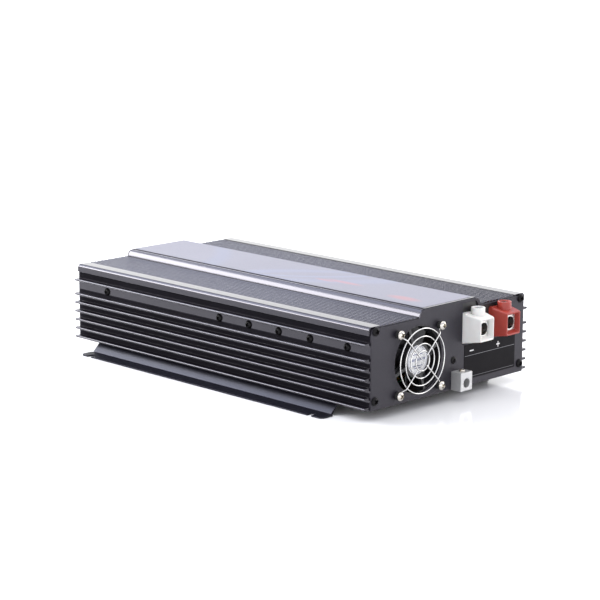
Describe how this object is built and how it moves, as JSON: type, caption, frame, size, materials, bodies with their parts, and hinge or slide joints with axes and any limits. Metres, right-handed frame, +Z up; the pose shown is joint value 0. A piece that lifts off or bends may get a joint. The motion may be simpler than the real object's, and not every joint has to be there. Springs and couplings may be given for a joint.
{
  "type": "power inverter",
  "caption": "Finned aluminium power inverter case on two mounting rails, with a fan and box terminals at one end and an outlet and switch at the other.",
  "frame": {"origin": "on the mounting surface under the rails, below the middle of the whole outline", "axes": "+Y from the battery end towards the mains end along the case, +Z up, +X towards the positive terminal's side"},
  "size_m": [0.282, 0.4694, 0.1019],
  "materials": {
    "black_anodised": "black anodised extrusion, satin",
    "black_panel": "satin black powder coat",
    "rail_steel": "semi-gloss black paint on sheet steel",
    "base_steel": "satin black paint on sheet steel",
    "black_screw": "black oxide",
    "bright_screw": "nickel plated",
    "guard_chrome": "bright plated wire",
    "black_plastic": "moulded, satin",
    "spacer_rubber": "matt",
    "fan_winding": "enamelled copper wire",
    "hub_foil": "printed foil disc",
    "label_silver": "printed silver film",
    "label_black": "printed black film",
    "housing_white": "moulded white",
    "housing_red": "moulded red",
    "tinned_block": "tin plated brass",
    "lug_aluminium": "tin plated",
    "clamp_steel": "zinc plated",
    "rocker_plastic": "moulded black",
    "outlet_plastic": "moulded light grey",
    "button_black": "moulded",
    "button_red": "moulded",
    "led_green": "tinted lens",
    "board_green": "solder-masked glass laminate",
    "plated_steel": "zinc plated",
    "ferrite": "sintered ferrite",
    "coil_copper": "enamelled copper under tape",
    "capacitor_can": "sleeved can",
    "copper": "bare copper",
    "fuse_plastic": "translucent orange",
    "pad_rubber": "silicone sheet",
    "bar_steel": "plain",
    "wire_black": "soft insulation"
  },
  "bodies": {
    "root": {"top_cover": "black_anodised", "left_heatsink": "black_anodised", "right_heatsink": "black_anodised", "base_plate": "base_steel", "left_foot_rail": "rail_steel", "right_foot_rail": "rail_steel", "base_screws": "black_screw", "top_label": "label_silver", "dc_panel": "black_panel", "ac_panel": "black_panel", "dc_panel_screws": "black_screw", "ac_panel_screws": "black_screw", "side_screws": "black_screw", "fan_frame": "black_plastic", "fan_stator": "fan_winding", "fan_hub_label": "hub_foil", "fan_guard": "guard_chrome", "fan_guard_spacers": "spacer_rubber", "fan_screws": "bright_screw", "terminal_carrier": "black_plastic", "neg_terminal_housing": "housing_white", "pos_terminal_housing": "housing_red", "neg_terminal_block": "tinned_block", "pos_terminal_block": "tinned_block", "ground_lug": "lug_aluminium", "terminal_label": "label_black", "rocker_frame": "black_plastic", "receptacle": "outlet_plastic", "receptacle_bezel": "black_plastic", "receptacle_screws": "black_screw", "remote_jack": "black_plastic", "led_lenses": "led_green", "main_board": "board_green", "board_standoffs": "plated_steel", "board_screws": "plated_steel", "transformer_cores": "ferrite", "transformer_windings": "coil_copper", "input_capacitors": "capacitor_can", "bus_capacitors": "capacitor_can", "output_inductor": "coil_copper", "fuses": "fuse_plastic", "dc_busbars": "copper", "power_transistors": "black_plastic", "clamp_bars": "bar_steel", "thermal_pads": "pad_rubber", "control_board": "board_green", "fan_lead": "wire_black", "ac_wires": "wire_black"},
    "fan": {"fan_rotor": "black_plastic"},
    "rocker": {"rocker": "rocker_plastic"},
    "test_button": {"test_button": "button_black"},
    "reset_button": {"reset_button": "button_red"},
    "neg_clamp_pad": {"neg_clamp_pad": "clamp_steel"},
    "neg_clamp_screw": {"neg_clamp_screw": "clamp_steel"},
    "pos_clamp_pad": {"pos_clamp_pad": "clamp_steel"},
    "pos_clamp_screw": {"pos_clamp_screw": "clamp_steel"},
    "ground_lug_screw": {"ground_lug_screw": "bright_screw"}
  },
  "joints": [
    {"name": "fan_spin", "type": "hinge", "parent": "root", "child": "fan", "pos_m": [-0.0477, -0.2, 0.0512], "axis": [0, 1, 0], "continuous": true},
    {"name": "power_switch", "type": "hinge", "parent": "root", "child": "rocker", "pos_m": [-0.025, 0.2258, 0.062], "axis": [1, 0, 0], "range_deg": [0, 22]},
    {"name": "test_press", "type": "slide", "parent": "root", "child": "test_button", "axis": [0, -1, 0], "range_m": [0, 0.002], "stiffness_N_per_m": 400},
    {"name": "reset_press", "type": "slide", "parent": "root", "child": "reset_button", "axis": [0, -1, 0], "range_m": [0, 0.002], "stiffness_N_per_m": 400},
    {"name": "neg_pad_slide", "type": "slide", "parent": "root", "child": "neg_clamp_pad", "axis": [0, 0, -1], "range_m": [0, 0.011]},
    {"name": "neg_screw_turn", "type": "hinge", "parent": "neg_clamp_pad", "child": "neg_clamp_screw", "pos_m": [0.0337, -0.2221, 0.08], "axis": [0, 0, -1], "range_deg": [0, 3168]},
    {"name": "pos_pad_slide", "type": "slide", "parent": "root", "child": "pos_clamp_pad", "axis": [0, 0, -1], "range_m": [0, 0.011]},
    {"name": "pos_screw_turn", "type": "hinge", "parent": "pos_clamp_pad", "child": "pos_clamp_screw", "pos_m": [0.0755, -0.2221, 0.08], "axis": [0, 0, -1], "range_deg": [0, 3168]},
    {"name": "ground_screw_slide", "type": "slide", "parent": "root", "child": "ground_lug_screw", "axis": [0, 0, -1], "range_m": [0, 0.007]}
  ],
  "couplings": [
    {"joint": "neg_screw_turn", "follows": "neg_pad_slide", "rad_per_m": 5026.5},
    {"joint": "pos_screw_turn", "follows": "pos_pad_slide", "rad_per_m": 5026.5}
  ]
}
